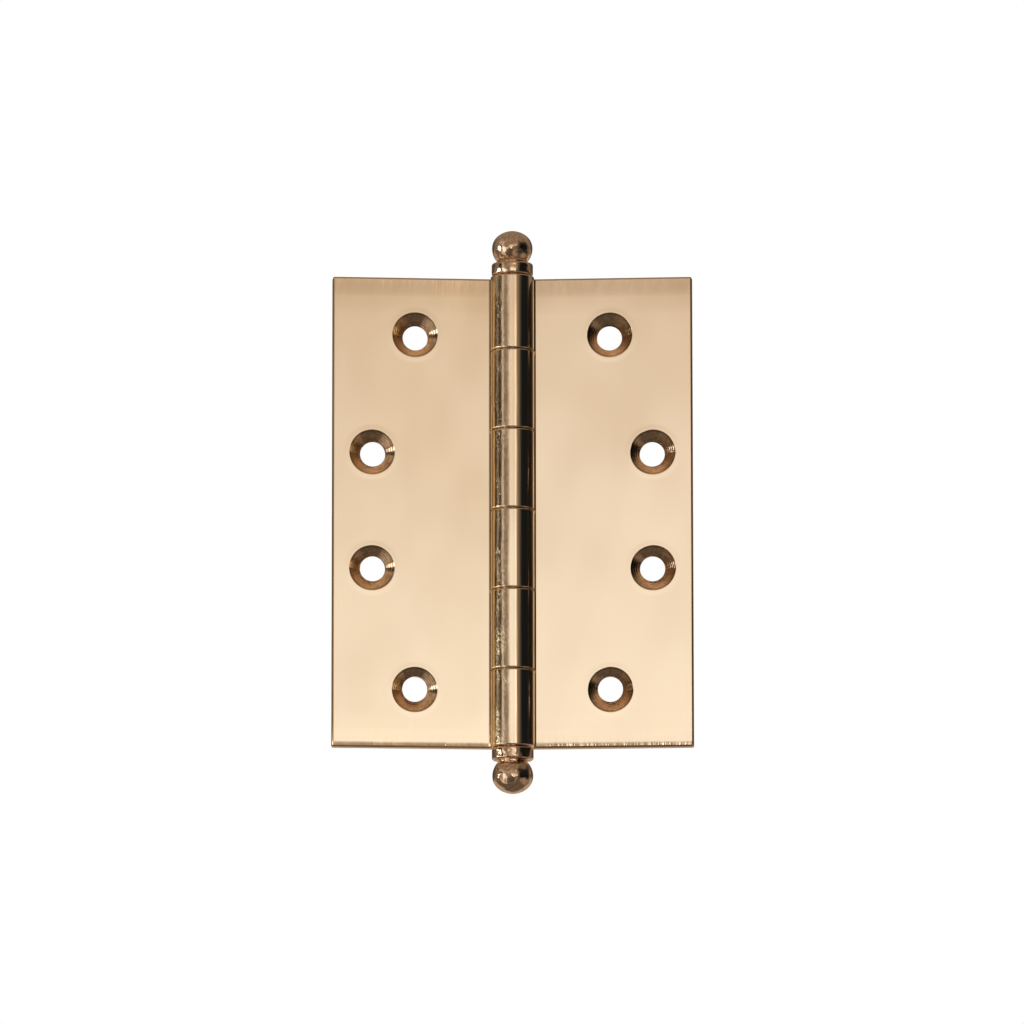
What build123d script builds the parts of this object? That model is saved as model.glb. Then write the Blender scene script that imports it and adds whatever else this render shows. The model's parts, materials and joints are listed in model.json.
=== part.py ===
from build123d import *
import os
from math import sqrt

# A brass butt hinge with ball finials, standing upright and open to 170 degrees.
# Millimetres. The origin is on the pin axis, half way up. +Z is up the pin,
# -Y is the side that the countersinks face, and -X is the side of the frame leaf.

# Leaves
LEAF_HEIGHT = 100.0
LEAF_WIDTH = 37.85  # from the pin axis to the outer edge
LEAF_THICKNESS = 2.7
CLOSED_GAP = 2.1  # between the two faces when the leaves are parallel
OPEN_ANGLE = 170.0  # between the leaves as they stand here
EDGE_RADIUS = 0.4
COVE_RADIUS = 0.45  # where a leaf runs into its knuckles

# Barrel: six knuckles, counted from the top, the odd ones on the door leaf
BARREL_RADIUS = 4.6
BARREL_TOP = 50.35
BARREL_BOTTOM = -49.95
KNUCKLE_PITCH = 17.0
TOP_SEAM = 34.35  # height of the seam under the first knuckle
KNUCKLE_COUNT = 6
KNUCKLE_GAP = 0.14  # between neighbouring knuckles
KNUCKLE_EDGE_RADIUS = 0.35
NOTCH_CLEARANCE = 0.25  # round the other leaf's knuckles
WEB_OVERLAP = 0.6  # how far a leaf's metal is carried into its knuckles

# Pin
PIN_RADIUS = 2.5
RUNNING_CLEARANCE = 0.05
PIN_BOTTOM = -45.6
PIN_POINT_CHAMFER = 0.7
STUD_RADIUS = 1.5
STUD_TOP = 54.4
STUD_CHAMFER = 0.3

# Screw holes: distance from the pin axis along the leaf, and height
HOLE_RADIUS = 2.65
COUNTERSINK_RADIUS = 4.78
COUNTERSINK_SPREAD = 1.01  # the countersinks are cut on a pattern this much wider than the holes
COUNTERSINK_RIM_RADIUS = 0.12
OUTER_PAIR = [(20.3, 37.4), (20.3, -37.4)]
INNER_PAIR = [(29.25, 12.45), (29.25, -11.95)]

# Finials: a collar, a neck and a ball with a flattened end. Heights are from the barrel's end.
COLLAR_RADIUS = 4.36
COLLAR_TOP = 2.75
COLLAR_EDGE_RADIUS = 0.5
SEAT_GAP = 0.05  # between a finial and the barrel's end
NECK_RADIUS = 3.1
BALL_RADIUS = 4.28
BALL_HEIGHT = 6.05  # of the ball's widest circle
BALL_TIP = 9.75
BALL_SHOULDER_OFFSET = 0.9  # off the axis, of the arc that rounds the ball's shoulder
SPIGOT_TOP = -45.9  # of the threaded plug on the bottom finial
THREAD_HOLE_TOP = 54.7  # of the blind hole in the top finial

FACE_DEPTH = CLOSED_GAP / 2
BACK_DEPTH = FACE_DEPTH + LEAF_THICKNESS
BORE_RADIUS = PIN_RADIUS + RUNNING_CLEARANCE
TILT = (180.0 - OPEN_ANGLE) / 2


def knuckle_spans():
    """Lowest and highest point of each knuckle's place in the barrel, from the top down."""
    seams = [TOP_SEAM - i * KNUCKLE_PITCH for i in range(KNUCKLE_COUNT - 1)]
    limits = [BARREL_TOP] + seams + [BARREL_BOTTOM]
    return [(low, high) for high, low in zip(limits, limits[1:])]


def upright_cylinder(radius, low, high):
    return Pos(0, 0, (low + high) / 2) * Cylinder(radius, high - low)


def knuckle(low, high):
    """One knuckle of the barrel, with rounded rims. The pin's bore is cut later."""
    solid = upright_cylinder(BARREL_RADIUS, low, high)
    return fillet(solid.edges().filter_by(GeomType.CIRCLE), KNUCKLE_EDGE_RADIUS)


def web():
    """A leaf's plate on the +X side, with a cove up to the barrel, before any knuckle is cut."""
    plate = Pos(LEAF_WIDTH / 2, (FACE_DEPTH + BACK_DEPTH) / 2) * Rectangle(LEAF_WIDTH, LEAF_THICKNESS)
    section = plate + Circle(BARREL_RADIUS)
    roots = [v for v in section.vertices() if 1 < v.X < BARREL_RADIUS]
    coved = fillet(roots, COVE_RADIUS) - Circle(BARREL_RADIUS)
    overlap = plate - Circle(BARREL_RADIUS - WEB_OVERLAP)
    return extrude(coved + overlap, LEAF_HEIGHT / 2, both=True)


def rounded_web():
    """The web with the plate's outer edges rounded."""
    solid = web()
    ends = [e for e in solid.edges() if abs(abs(e.center().Z) - LEAF_HEIGHT / 2) < 1e-3]
    rims = [e for e in ends if e.center().X > BARREL_RADIUS + COVE_RADIUS]
    uprights = [e for e in solid.edges().filter_by(Axis.Z) if e.center().X > LEAF_WIDTH - 1]
    return fillet(rims + uprights, EDGE_RADIUS)


def screw_hole(along, height):
    """Cutter for one screw hole right through the leaf."""
    return Pos(along, BACK_DEPTH, height) * Rot(90, 0, 0) * Cylinder(HOLE_RADIUS, 4 * LEAF_THICKNESS)


def countersink(along, height):
    """Cutter for the 90 degree countersink of one hole, with its wide end on the leaf's face."""
    depth = COUNTERSINK_RADIUS
    middle = Pos(along * COUNTERSINK_SPREAD, FACE_DEPTH + depth / 2, height * COUNTERSINK_SPREAD)
    return middle * Rot(-90, 0, 0) * Cone(COUNTERSINK_RADIUS, 0, depth)


def leaf(own_parity):
    """A flat leaf on the +X side. Its knuckles are those whose count from the top has this parity."""
    solid = rounded_web()
    half_gap = KNUCKLE_GAP / 2
    numbered_spans = list(enumerate(knuckle_spans(), start=1))
    for number, (low, high) in numbered_spans:
        if number % 2 != own_parity:
            solid -= upright_cylinder(BARREL_RADIUS + NOTCH_CLEARANCE, low - half_gap, high + half_gap)
    for number, (low, high) in numbered_spans:
        if number % 2 == own_parity:
            solid += knuckle(low + half_gap, high - half_gap)
    solid -= upright_cylinder(BORE_RADIUS, -LEAF_HEIGHT, LEAF_HEIGHT)
    for along, height in OUTER_PAIR + INNER_PAIR:
        solid -= screw_hole(along, height)
        solid -= countersink(along, height)
    circles = solid.edges().filter_by(GeomType.CIRCLE)
    rims = [e for e in circles if abs(e.radius - COUNTERSINK_RADIUS) < 1e-3]
    return fillet(rims, COUNTERSINK_RIM_RADIUS)


def frame_leaf():
    """The leaf on the -X side, screwed to the door frame. It has the even knuckles."""
    return Rot(0, 0, TILT) * mirror(leaf(own_parity=0), about=Plane.YZ)


def door_leaf():
    """The leaf on the +X side, screwed to the door. It has the odd knuckles."""
    return Rot(0, 0, -TILT) * leaf(own_parity=1)


def pin():
    """The pin: a rod through all the knuckles, with a threaded stud for the top finial."""
    rod = upright_cylinder(PIN_RADIUS, PIN_BOTTOM, BARREL_TOP)
    rod = chamfer(rod.edges().group_by(Axis.Z)[0], PIN_POINT_CHAMFER)
    stud = upright_cylinder(STUD_RADIUS, BARREL_TOP, STUD_TOP)
    stud = chamfer(stud.edges().group_by(Axis.Z)[-1], STUD_CHAMFER)
    return rod + stud


def collar():
    """The finial's collar, sitting just clear of the barrel's end."""
    solid = upright_cylinder(COLLAR_RADIUS, SEAT_GAP, COLLAR_TOP)
    return fillet(solid.edges().filter_by(GeomType.CIRCLE), COLLAR_EDGE_RADIUS)


def ball():
    """The finial's neck and ball: round below its widest circle, and flattened above it."""
    shoulder_radius = BALL_RADIUS - BALL_SHOULDER_OFFSET
    flattening = BALL_RADIUS - (BALL_TIP - BALL_HEIGHT)
    # the tip's arc is centred on the axis, and touches the shoulder's arc
    drop = (BALL_SHOULDER_OFFSET**2 - (BALL_SHOULDER_OFFSET - flattening) ** 2) / (
        2 * (BALL_SHOULDER_OFFSET - flattening)
    )
    tip_radius = BALL_TIP - BALL_HEIGHT + drop
    lean = tip_radius - shoulder_radius
    join = (BALL_SHOULDER_OFFSET * tip_radius / lean, BALL_HEIGHT - drop + drop * tip_radius / lean)
    neck_top = BALL_HEIGHT - sqrt(BALL_RADIUS**2 - NECK_RADIUS**2)
    neck_bottom = COLLAR_TOP - COLLAR_EDGE_RADIUS
    widest = (BALL_RADIUS, BALL_HEIGHT)
    outline = Polyline((NECK_RADIUS, neck_top), (NECK_RADIUS, neck_bottom), (0, neck_bottom), (0, BALL_TIP))
    outline += RadiusArc((NECK_RADIUS, neck_top), widest, -BALL_RADIUS)
    outline += RadiusArc(widest, join, -shoulder_radius)
    outline += RadiusArc(join, (0, BALL_TIP), -tip_radius)
    return revolve(Plane.XZ * make_face(outline), Axis.Z)


def finial():
    """A collar, neck and ball turned in one piece, standing on a barrel that ends at height 0."""
    return collar() + ball()


def top_finial():
    """The finial on the top of the pin, with a blind threaded hole for the pin's stud."""
    hole = upright_cylinder(STUD_RADIUS + RUNNING_CLEARANCE, BARREL_TOP, THREAD_HOLE_TOP)
    return Pos(0, 0, BARREL_TOP) * finial() - hole


def bottom_finial():
    """The finial under the barrel, with a threaded plug that goes up into the lowest knuckle."""
    upside_down = Pos(0, 0, BARREL_BOTTOM) * mirror(finial(), about=Plane.XY)
    plug = upright_cylinder(PIN_RADIUS, BARREL_BOTTOM - COLLAR_TOP, SPIGOT_TOP)
    plug = chamfer(plug.edges().group_by(Axis.Z)[-1], STUD_CHAMFER)
    return upside_down + plug


os.makedirs("parts", exist_ok=True)
for make_piece in (frame_leaf, door_leaf, pin, top_finial, bottom_finial):
    export_step(make_piece(), f"parts/{make_piece.__name__}.step")
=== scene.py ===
"""Looks for the brass door hinge: metals, studio light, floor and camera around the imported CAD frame.

Everything is in metres and in the row frame: +Z runs up the pin, the countersunk faces look along -Y,
and the frame leaf reaches out to -X.
"""

import json
import math

import bpy
from mathutils import Matrix, Vector


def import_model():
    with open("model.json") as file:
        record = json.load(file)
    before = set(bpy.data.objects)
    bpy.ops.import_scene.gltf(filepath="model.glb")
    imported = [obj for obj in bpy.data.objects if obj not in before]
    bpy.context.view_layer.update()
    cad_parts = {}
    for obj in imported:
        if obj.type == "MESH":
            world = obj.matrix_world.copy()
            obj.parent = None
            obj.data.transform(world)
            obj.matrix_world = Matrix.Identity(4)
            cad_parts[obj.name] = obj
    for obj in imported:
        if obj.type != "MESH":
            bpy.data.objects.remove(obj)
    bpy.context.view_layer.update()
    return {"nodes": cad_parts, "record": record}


MM = 0.001

# The leaves stand open at 170 degrees, so each face is turned 5 degrees towards the front.
LEAF_TILT = math.radians(5.0)
LEAF_WIDTH = 37.85 * MM
LEAF_HALF_HEIGHT = 50.0 * MM
BARREL_RADIUS = 4.6 * MM
COUNTERSINK_RADIUS = 4.78 * MM
COUNTERSINK_SPREAD = 1.01  # the countersinks are cut on a pattern this much wider than the holes

# Camera: a long lens, a little below the hinge and looking up at it.
CAMERA_DISTANCE = 1.8
CAMERA_AZIMUTH = -0.41
CAMERA_ELEVATION = -9.23
CAMERA_ROLL = -0.05
CAMERA_LENS = 300.9
CAMERA_SENSOR = 36.0
CAMERA_CLIP = (0.1, 50.0)
CAMERA_AIM = (-0.11 * MM, 0.0, 0.02 * MM)

FLOOR_HEIGHT = -0.45
FLOOR_SIZE = 14.0
FLOOR_COLOUR = (0.9, 0.9, 0.89, 1.0)
FLOOR_ROUGHNESS = 0.8
FLOOR_GLOW = 0.7  # the panels alone would leave the floor dull

# Soft panels round the hinge, seen only in the metal, and dark cards that take light away. Angles are in
# degrees: azimuth 0 is the front and 90 the right, and elevation is above the horizon. Each has the two
# angles over which it fades in and the two over which it fades out, sideways and then upwards, and last
# its brightness, or the share of light that a card takes.
PANELS = {
    "front": ((-27, -8, 17, 25), (-3, 6, 4.5, 14.5), 0.75),
    "front_halo": ((-38, -12, 18, 27), (-7, 6, 14, 34), 0.22),
    "front_left": ((-30, -16, -4, 6), (7, 9, 10.5, 15), 0.06),
    "left_box": ((-60, -55, -38, -28), (-20, -12, 3, 7), 1.00),
    "left_strip": ((-60, -56, -50, -45), (-62, -50, 12, 30), 0.40),
    "left_low": ((-80, -66, -56, -46), (-56, -26, -14, -7), 0.50),
    "left_lamp": ((-98, -88, -76, -68), (-8, -5, 3.5, 6.5), 5.00),
    "left_high": ((-100, -80, -50, -30), (14, 22, 26, 40), 0.25),
    "lens_lamp": ((-7, -4, 0, 3), (-7.5, -5.5, -2, 0), 2.60),
    "low_front": ((4, 14, 25, 38), (-52, -42, -26, -16), 0.22),
    "low_back": ((115, 140, 220, 245), (-50, -35, -8, 2), 0.34),
    "low_right": ((55, 72, 100, 118), (-50, -38, -18, -8), 0.18),
}
GOLD_PANEL = ((11, 15.5, 17, 22), (-3, 5, 10, 20), 0.50)
GOLD = (1.0, 0.66, 0.16)
CARDS = {
    "right_card": ((22, 52, 86, 108), (-30, -12, 16, 62), 0.96),
    "lens": ((-14, -6, 8, 16), (-24, -16, -10.5, -7.5), 0.45),
    "below_lens": ((-30, -18, 2, 10), (-60, -45, -20, -9), 0.25),
    "left_gap": ((-86, -77, -65, -58), (3.5, 6, 14, 20), 0.88),
    "back_card": ((112, 135, 225, 250), (-2, 5, 20, 40), 0.60),
}

# Light from everywhere else, brighter from above than from below, between these elevations.
AMBIENT_BELOW, AMBIENT_ABOVE = 0.13, 0.28
AMBIENT_ELEVATIONS = (-40.0, 40.0)

# Dim light is warmer, down to a trace of cool light in the dark: the shares of green and blue left in it.
DIM_BELOW, WHITE_ABOVE = 0.45, 1.05
DIM_GREEN, DIM_BLUE = 0.80, 0.64
COOL_TRACE = (0.0, 0.003, 0.006)

# Noise textures: units of noise to a metre along x, y and z, then detail and roughness.
LEAF_NOISES = {
    "waves": ((60, 60, 26), 1.0, 0.5),
    "lines": ((3200, 3200, 90), 3.0, 0.6),
    "rough_ends": ((700, 700, 90), 3.0, 0.6),
    "ring_breaks": ((1500, 1500, 1500), 2.0, 0.5),
    "pits": ((1700, 1700, 800), 3.0, 0.65),
    "patches": ((260, 260, 120), 1.0, 0.5),
    "flow": ((2600, 2600, 110), 2.0, 0.5),
    "clouds": ((150, 150, 60), 3.0, 0.55),
}
FINIAL_NOISES = {
    "dents": ((420, 420, 420), 1.5, 0.5),
    "specks": ((1700, 1700, 1700), 3.0, 0.6),
    "grooves": ((0, 0, 3600), 2.0, 0.5),
}
PIN_NOISES = {
    "grinding": ((160, 160, 7000), 2.0, 0.5),
    "smears": ((350, 350, 60), 3.0, 0.6),
}

# Between which values of a texture its mark on the colour or the relief comes in.
FADES = {
    "clouds": (0.3, 0.7),
    "ring_breaks": (0.35, 0.65),
    "patches": (0.35, 0.65),
    "pits": (0.52, 0.40),
    "specks": (0.38, 0.62),
    "smears": (0.45, 0.70),
}

# How deep each bump is, for a height of 1.
DEPTHS = {
    "waves": 0.18 * MM,
    "lines": 0.009 * MM,
    "end_slope": 0.04 * MM,
    "rolled_end": 0.055 * MM,
    "rolled_foot": 0.07 * MM,
    "dish": 0.08 * COUNTERSINK_RADIUS,
    "turned_rings": 0.009 * MM,
    "burr": 0.005 * MM,
    "pits": 0.06 * MM,
    "flow": 0.012 * MM,
    "dents": 0.32 * MM,
    "specks": 0.022 * MM,
    "grooves": 0.004 * MM,
    "grinding": 0.004 * MM,
}

# Regions of a leaf: what each is measured by, and where along that measure it is 0 and then 1. Some
# count only within another region.
REGIONS = {
    "barrel": ("radius", BARREL_RADIUS + 0.25 * MM, BARREL_RADIUS + 0.05 * MM),
    "left_flank": ("x", -0.2 * MM, -1.5 * MM),
    "left_limb": ("x", -1.6 * MM, -4.4 * MM),
    "countersink": ("from_hole", COUNTERSINK_RADIUS, COUNTERSINK_RADIUS - 0.15 * MM),
    "rim": ("from_hole", COUNTERSINK_RADIUS - 0.55 * MM, COUNTERSINK_RADIUS - 0.1 * MM),
    "burr": ("from_hole", COUNTERSINK_RADIUS + 1.3 * MM, COUNTERSINK_RADIUS),
    "near_end": ("from_end", 9.0 * MM, 0.5 * MM),
    "end_slope": ("from_end", 8.0 * MM, -2.0 * MM),
    "rolled_end": ("from_end", 4.2 * MM, -0.9 * MM),
    "end_edge": ("from_end", 0.45 * MM, 0.15 * MM),
    "rolled_foot": ("height", -48.7 * MM, -50.2 * MM),
    "side_edge": ("along", LEAF_WIDTH - 0.55 * MM, LEAF_WIDTH - 0.2 * MM),
}
WITHIN = {
    "left_flank": "barrel",
    "left_limb": "barrel",
    "rim": "countersink",
    "burr": "flat",
    "end_slope": "flat",
    "rolled_end": "flat",
    "rolled_foot": "flat",
}
RING_PITCH = 0.42 * MM  # of the turned rings in a countersink

# How far a texture or a region sets another effect: its share, then the part that is always there.
LINES_NEAR_END = (0.8, 0.2)
END_ROLL = (-1.1, -0.25)
FOOT_ROLL = (-0.5, -0.75)
SHALLOWEST_PITS = 0.25
PIT_STAIN_SHARE = 0.6
# How strongly the painted shade at the countersinks' rims shows.
RIM_SHADE_SHARE = 0.75

# Metal colours, as the share of red, green and blue light that the metal reflects. The countersink, rim
# and limb colours are painted shade and a painted reflection.
SHEET_DEEP = (0.950, 0.758, 0.538, 1)
SHEET_PALE = (0.962, 0.778, 0.558, 1)
# Painted shade: the countersinks darker and browner than the sheet, for the shade and dark reflections in
# these hollows; the two vary at random round the turned rings.
COUNTERSINK_SHADE_DEEP = (0.58, 0.40, 0.25, 1)
COUNTERSINK_SHADE_PALE = (0.77, 0.56, 0.38, 1)
# Painted shade: a dark ring round the outer rim of each countersink.
RIM_PAINTED_SHADE = (0.30, 0.18, 0.09, 1)
EDGE_BROWN = (0.86, 0.60, 0.33, 1)
PIT_STAIN = (0.76, 0.60, 0.40, 1)
# Painted reflection: a golden tint on the left side of the knuckles.
LIMB_GOLD_REFLECTION = (0.93, 0.71, 0.40, 1)
FINIAL_DEEP = (0.72, 0.50, 0.32, 1)
FINIAL_PALE = (0.98, 0.74, 0.51, 1)
STEEL = (0.60, 0.60, 0.61, 1)
OILED_STEEL = (0.44, 0.41, 0.36, 1)

# Roughness: a texture's share, the part that is everywhere, and what some regions add.
LEAF_ROUGHNESS = (0.05, 0.07)
FINIAL_ROUGHNESS = (0.10, 0.03)
PIN_ROUGHNESS = (0.22, 0.16)
ROUGHER_REGIONS = {"near_end": 0.04, "countersink": 0.05, "left_flank": 0.02}


class Shader:
    """Adds nodes to one node tree and wires them, so that a material reads as lines of arithmetic."""

    def __init__(self, tree):
        self.tree = tree
        self.tree.nodes.clear()

    def node(self, kind, wires=(), **settings):
        """One node; wires is a dict of input name or number to a socket or a value."""
        made = self.tree.nodes.new(kind)
        for name, value in settings.items():
            setattr(made, name, value)
        for key, value in dict(wires).items():
            self.wire(made.inputs[key], value)
        return made

    def wire(self, socket, value):
        if isinstance(value, bpy.types.NodeSocket):
            self.tree.links.new(value, socket)
        else:
            socket.default_value = value

    def math(self, operation, *values):
        made = self.node("ShaderNodeMath", dict(enumerate(values)), operation=operation)
        return made.outputs[0]

    def product(self, first, *others):
        for other in others:
            first = self.math("MULTIPLY", first, other)
        return first

    def scaled(self, value, factor, plus=0.0):
        return self.math("MULTIPLY_ADD", value, factor, plus)

    def vector(self, operation, *values):
        made = self.node("ShaderNodeVectorMath", dict(enumerate(values)), operation=operation)
        return made.outputs["Value" if operation == "LENGTH" else "Vector"]

    def combine(self, x, y, z):
        return self.node("ShaderNodeCombineXYZ", {0: x, 1: y, 2: z}).outputs[0]

    def separate(self, vector):
        return tuple(self.node("ShaderNodeSeparateXYZ", {0: vector}).outputs)

    def ramp(self, value, start, end, low=0.0, high=1.0):
        """A smooth step from low at start to high at end."""
        wires = {"Value": value, "From Min": start, "From Max": end, "To Min": low, "To Max": high}
        made = self.node("ShaderNodeMapRange", wires, interpolation_type="SMOOTHSTEP")
        return made.outputs["Result"]

    def place(self):
        """Where a point of the hinge is at rest, in the row frame."""
        return self.node("ShaderNodeTexCoord").outputs["Object"]

    def noises(self, place, table):
        """The textures of a noise table, each from 0 to 1."""
        made = {}
        for name, (stretch, detail, roughness) in table.items():
            stretched = self.vector("MULTIPLY", place, stretch)
            wires = {"Vector": stretched, "Scale": 1.0, "Detail": detail, "Roughness": roughness}
            made[name] = self.node("ShaderNodeTexNoise", wires).outputs["Fac"]
        return made

    def fade(self, noises, name, low=0.0, high=1.0):
        """A texture's smooth step over the values that FADES gives for it."""
        return self.ramp(noises[name], *FADES[name], low, high)

    def mix(self, share, first, second):
        """A colour share of the way from first to second."""
        made = self.node("ShaderNodeMix", {"Factor": share}, data_type="RGBA")
        self.wire(made.inputs[6], first)
        self.wire(made.inputs[7], second)
        return made.outputs[2]

    def bumps(self, heights):
        """The normal that the named heights make, one over another, each as deep as DEPTHS says."""
        normal = None
        for name, height in heights.items():
            wires = {"Strength": 1.0, "Distance": DEPTHS[name], "Height": height}
            made = self.node("ShaderNodeBump", wires)
            if normal is not None:
                self.wire(made.inputs["Normal"], normal)
            normal = made.outputs["Normal"]
        return normal


def sky_mask(shader, azimuth, elevation, sideways, upwards):
    """1 inside a soft-edged patch of the sky, 0 outside it."""
    middle = (sideways[0] + sideways[3]) / 2
    turned = shader.math("WRAP", shader.math("SUBTRACT", azimuth, middle), 180.0, -180.0)
    edges = [(turned, [angle - middle for angle in sideways]), (elevation, upwards)]
    mask = 1.0
    for value, (rise_start, rise_end, fall_start, fall_end) in edges:
        risen = shader.ramp(value, rise_start, rise_end)
        mask = shader.product(risen, shader.ramp(value, fall_start, fall_end, 1.0, 0.0), mask)
    return mask


def studio_colour(shader):
    """The colour of the studio in each direction."""
    direction = shader.node("ShaderNodeTexCoord").outputs["Generated"]
    x, y, z = shader.separate(shader.vector("NORMALIZE", direction))
    azimuth = shader.math("DEGREES", shader.math("ARCTAN2", x, shader.math("MULTIPLY", y, -1.0)))
    elevation = shader.math("DEGREES", shader.math("ARCSINE", z))
    light = shader.ramp(elevation, *AMBIENT_ELEVATIONS, AMBIENT_BELOW, AMBIENT_ABOVE)
    for sideways, upwards, brightness in PANELS.values():
        mask = sky_mask(shader, azimuth, elevation, sideways, upwards)
        light = shader.math("MULTIPLY_ADD", mask, brightness, light)
    for sideways, upwards, share in CARDS.values():
        shade = shader.product(sky_mask(shader, azimuth, elevation, sideways, upwards), share)
        light = shader.product(light, shader.math("SUBTRACT", 1.0, shade))
    green = shader.product(light, shader.ramp(light, DIM_BELOW, WHITE_ABOVE, DIM_GREEN, 1.0))
    blue = shader.product(light, shader.ramp(light, DIM_BELOW, WHITE_ABOVE, DIM_BLUE, 1.0))
    tinted = shader.vector("ADD", shader.combine(light, green, blue), COOL_TRACE)
    sideways, upwards, brightness = GOLD_PANEL
    glow = shader.product(sky_mask(shader, azimuth, elevation, sideways, upwards), brightness)
    return shader.vector("MULTIPLY_ADD", shader.combine(glow, glow, glow), GOLD, tinted)


def studio_light():
    """A plain white background, with the studio where only the metal and the floor see it."""
    world = bpy.data.worlds.new("studio")
    world.use_nodes = True
    bpy.context.scene.world = world
    shader = Shader(world.node_tree)
    studio = shader.node("ShaderNodeBackground", {"Color": studio_colour(shader)})
    backdrop = shader.node("ShaderNodeBackground", {"Color": (1.0, 1.0, 1.0, 1.0)})
    camera_ray = shader.node("ShaderNodeLightPath").outputs["Is Camera Ray"]
    choice = shader.node("ShaderNodeMixShader", {
        0: camera_ray,
        1: studio.outputs[0],
        2: backdrop.outputs[0],
    })
    shader.node("ShaderNodeOutputWorld", {"Surface": choice.outputs[0]})


def new_material(name, metallic):
    """A new material, the shader that adds to it, and its BSDF."""
    made = bpy.data.materials.new(name)
    made.use_nodes = True
    shader = Shader(made.node_tree)
    bsdf = shader.node("ShaderNodeBsdfPrincipled", {"Metallic": metallic})
    shader.node("ShaderNodeOutputMaterial", {"Surface": bsdf.outputs[0]})
    return made, shader, bsdf


def finish_metal(shader, bsdf, normal, colour, roughness):
    shader.wire(bsdf.inputs["Normal"], normal)
    shader.wire(bsdf.inputs["Base Color"], colour)
    shader.wire(bsdf.inputs["Roughness"], roughness)


def hole_places(frame):
    """How far each screw hole is out along the leaf and up, from the record's bolt patterns."""
    places = []
    for mount in frame["record"]["mounts"]:
        if mount["kind"] == "bolt_pattern" and mount["name"].startswith("door"):
            x, y, z = mount["pos_m"]
            along = x * math.cos(LEAF_TILT) - y * math.sin(LEAF_TILT)
            half = mount["dims"]["pcd_mm"] * MM / 2
            places += [(along, z + half), (along, z - half)]
    return places


def leaf_measures(shader, place, frame):
    """Distances in metres that place a point on a leaf. The leaves are mirrored, so both share them."""
    x, y, height = shader.separate(place)
    outward = shader.product(shader.math("ABSOLUTE", x), math.cos(LEAF_TILT))
    along = shader.math("SUBTRACT", outward, shader.product(y, math.sin(LEAF_TILT)))
    from_hole = 1.0
    for hole_along, hole_height in hole_places(frame):
        sideways = shader.math("SUBTRACT", along, hole_along * COUNTERSINK_SPREAD)
        upwards = shader.math("SUBTRACT", height, hole_height * COUNTERSINK_SPREAD)
        distance = shader.vector("LENGTH", shader.combine(sideways, upwards, 0.0))
        from_hole = shader.math("MINIMUM", distance, from_hole)
    return {
        "x": x,
        "radius": shader.vector("LENGTH", shader.combine(x, y, 0.0)),
        "along": along,
        "height": height,
        "from_hole": from_hole,
        "from_end": shader.math("SUBTRACT", LEAF_HALF_HEIGHT, shader.math("ABSOLUTE", height)),
    }


def leaf_regions(shader, measures):
    """How far a point is inside each region of a leaf that has its own finish, from 0 to 1."""
    regions = {}
    for name, (measure, zero, one) in REGIONS.items():
        regions[name] = shader.ramp(measures[measure], zero, one)
    off_barrel = shader.math("SUBTRACT", 1.0, regions["barrel"])
    off_countersink = shader.math("SUBTRACT", 1.0, regions["countersink"])
    regions["flat"] = shader.product(off_barrel, off_countersink)
    for name, whole in WITHIN.items():
        regions[name] = shader.product(regions[name], regions[whole])
    either_edge = shader.math("MAXIMUM", regions["side_edge"], regions["end_edge"])
    regions["edge"] = shader.math("SUBTRACT", either_edge, regions["barrel"])
    return regions


def leaf_normal(shader, noises, measures, regions):
    """Fine lines up the faces, ends rolled over by the polishing wheel, countersinks turned and a little
    dished, a burr round each, and pits on the knuckles' left flanks."""
    line_depth = shader.scaled(regions["near_end"], *LINES_NEAR_END)
    end_roll = shader.scaled(noises["rough_ends"], *END_ROLL)
    foot_roll = shader.scaled(noises["rough_ends"], *FOOT_ROLL)
    bowl = shader.scaled(measures["from_hole"], -1 / COUNTERSINK_RADIUS, 1.0)
    rings = shader.math("SINE", shader.scaled(measures["from_hole"], 2 * math.pi / RING_PITCH))
    pit_depth = shader.fade(noises, "patches", SHALLOWEST_PITS)
    return shader.bumps({
        "waves": noises["waves"],
        "lines": shader.product(noises["lines"], line_depth, regions["flat"]),
        "end_slope": shader.product(regions["end_slope"], -1.0),
        "rolled_end": shader.product(regions["rolled_end"], end_roll),
        "rolled_foot": shader.product(regions["rolled_foot"], foot_roll),
        "dish": shader.math("MAXIMUM", bowl, 0.0),
        "turned_rings": shader.product(rings, noises["ring_breaks"], regions["countersink"]),
        "burr": regions["burr"],
        "pits": shader.product(noises["pits"], regions["left_flank"], pit_depth),
        "flow": shader.product(noises["flow"], regions["barrel"]),
    })


def leaf_colour(shader, noises, regions):
    """Sheet brass in cloudy patches and browner at the edges, with painted shade darkening and browning
    the countersinks and their rims, and a painted golden reflection on the left of the knuckles.
    """
    sheet = shader.mix(shader.fade(noises, "clouds"), SHEET_DEEP, SHEET_PALE)
    # Painted shade: the countersinks darkened and browned, varying at random round the turned rings.
    turned = shader.mix(shader.fade(noises, "ring_breaks"), COUNTERSINK_SHADE_DEEP, COUNTERSINK_SHADE_PALE)
    colour = shader.mix(regions["countersink"], sheet, turned)
    # Painted shade: a dark ring round the outer rim of each countersink.
    colour = shader.mix(shader.scaled(regions["rim"], RIM_SHADE_SHARE), colour, RIM_PAINTED_SHADE)
    colour = shader.mix(regions["edge"], colour, EDGE_BROWN)
    stain = shader.fade(noises, "pits", 0.0, PIT_STAIN_SHARE)
    in_pits = shader.product(regions["left_flank"], stain)
    colour = shader.mix(in_pits, colour, PIT_STAIN)
    # Painted reflection: the left side of the knuckles tinted golden.
    return shader.mix(regions["left_limb"], colour, LIMB_GOLD_REFLECTION)


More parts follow.
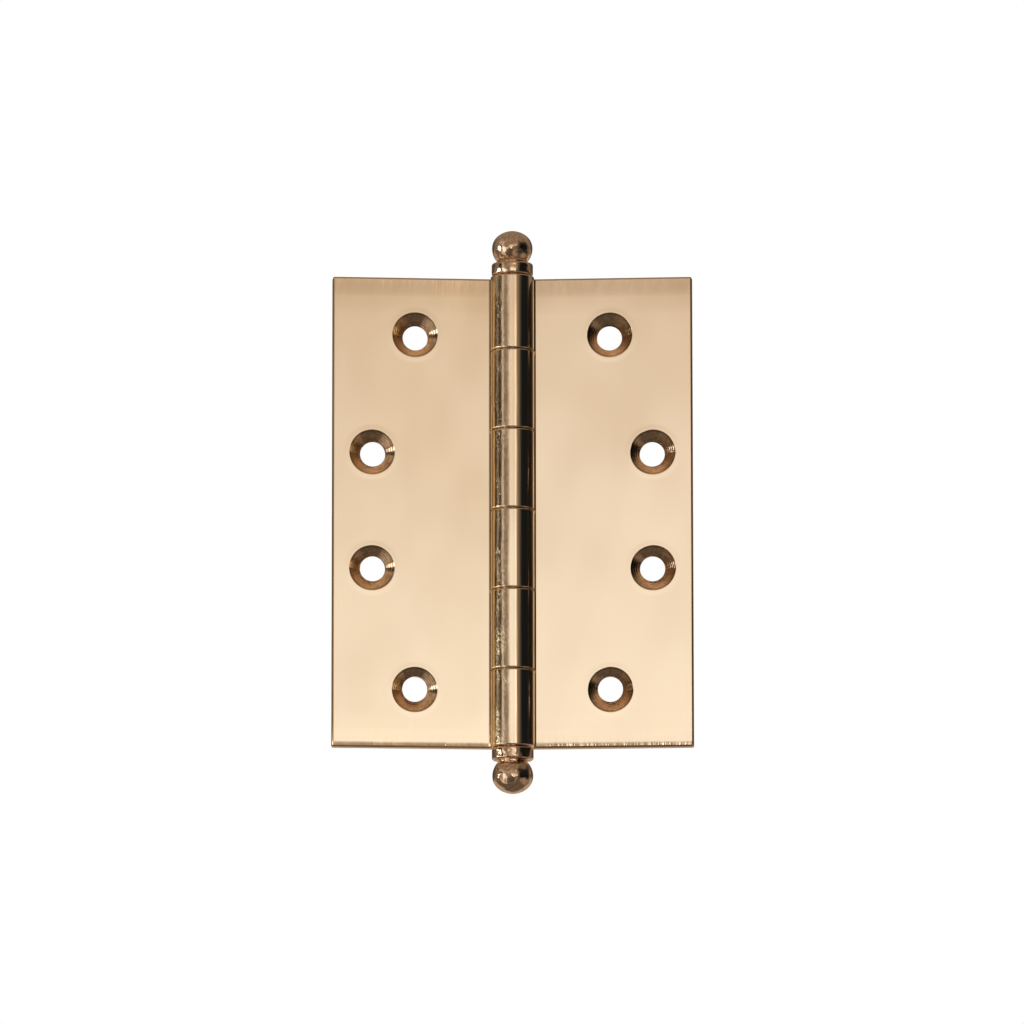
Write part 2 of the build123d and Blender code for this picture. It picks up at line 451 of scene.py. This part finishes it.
def leaf_brass(frame):
    """Polished sheet brass, for both leaves and their knuckles."""
    made, shader, bsdf = new_material("leaf_brass", 1.0)
    place = shader.place()
    noises = shader.noises(place, LEAF_NOISES)
    measures = leaf_measures(shader, place, frame)
    regions = leaf_regions(shader, measures)
    roughness = shader.scaled(noises["clouds"], *LEAF_ROUGHNESS)
    for name, extra in ROUGHER_REGIONS.items():
        roughness = shader.scaled(regions[name], extra, roughness)
    normal = leaf_normal(shader, noises, measures, regions)
    finish_metal(shader, bsdf, normal, leaf_colour(shader, noises, regions), roughness)
    return made


def turned_brass():
    """The finials' brass: turned on a lathe, polished by hand, and a little dented and stained since."""
    made, shader, bsdf = new_material("turned_brass", 1.0)
    noises = shader.noises(shader.place(), FINIAL_NOISES)
    colour = shader.mix(shader.fade(noises, "specks"), FINIAL_DEEP, FINIAL_PALE)
    roughness = shader.scaled(noises["dents"], *FINIAL_ROUGHNESS)
    finish_metal(shader, bsdf, shader.bumps(noises), colour, roughness)
    return made


def pin_steel():
    """Ground steel: fine lines round the pin, and dry smears of old oil."""
    made, shader, bsdf = new_material("pin_steel", 1.0)
    noises = shader.noises(shader.place(), PIN_NOISES)
    colour = shader.mix(shader.fade(noises, "smears"), STEEL, OILED_STEEL)
    roughness = shader.scaled(noises["smears"], *PIN_ROUGHNESS)
    normal = shader.bumps({"grinding": noises["grinding"]})
    finish_metal(shader, bsdf, normal, colour, roughness)
    return made


def dress(frame, finished):
    """Gives every CAD node the finished material for its slot."""
    for node in frame["nodes"].values():
        for place in node.material_slots:
            slot = place.material.name.split(".")[0]
            place.material = finished[slot]


def floor():
    """A plain pale floor well under the hinge, which the metal doesn't reflect."""
    half = FLOOR_SIZE / 2
    corners = [(sx * half, sy * half, FLOOR_HEIGHT) for sx, sy in ((-1, -1), (1, -1), (1, 1), (-1, 1))]
    mesh = bpy.data.meshes.new("floor")
    mesh.from_pydata(corners, [], [(0, 1, 2, 3)])
    plane = bpy.data.objects.new("floor", mesh)
    bpy.context.scene.collection.objects.link(plane)
    made, shader, bsdf = new_material("pale_floor", 0.0)
    shader.wire(bsdf.inputs["Base Color"], FLOOR_COLOUR)
    shader.wire(bsdf.inputs["Roughness"], FLOOR_ROUGHNESS)
    shader.wire(bsdf.inputs["Emission Color"], FLOOR_COLOUR)
    shader.wire(bsdf.inputs["Emission Strength"], FLOOR_GLOW)
    mesh.materials.append(made)
    plane.visible_glossy = False


def camera():
    data = bpy.data.cameras.new("camera")
    data.lens = CAMERA_LENS
    data.sensor_width = CAMERA_SENSOR
    data.clip_start, data.clip_end = CAMERA_CLIP
    made = bpy.data.objects.new("camera", data)
    bpy.context.scene.collection.objects.link(made)
    azimuth, elevation = math.radians(CAMERA_AZIMUTH), math.radians(CAMERA_ELEVATION)
    back = Vector((
        math.sin(azimuth) * math.cos(elevation),
        -math.cos(azimuth) * math.cos(elevation),
        math.sin(elevation),
    ))
    turn = (-back).to_track_quat("-Z", "Y").to_matrix().to_4x4()
    roll = Matrix.Rotation(math.radians(CAMERA_ROLL), 4, "Z")
    made.matrix_world = Matrix.Translation(Vector(CAMERA_AIM) + back * CAMERA_DISTANCE) @ turn @ roll
    bpy.context.scene.camera = made


def main():
    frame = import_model()
    dress(frame, {
        "leaf_brass": leaf_brass(frame),
        "turned_brass": turned_brass(),
        "pin_steel": pin_steel(),
    })
    studio_light()
    floor()
    camera()
    bpy.context.scene.view_settings.view_transform = "Standard"


main()
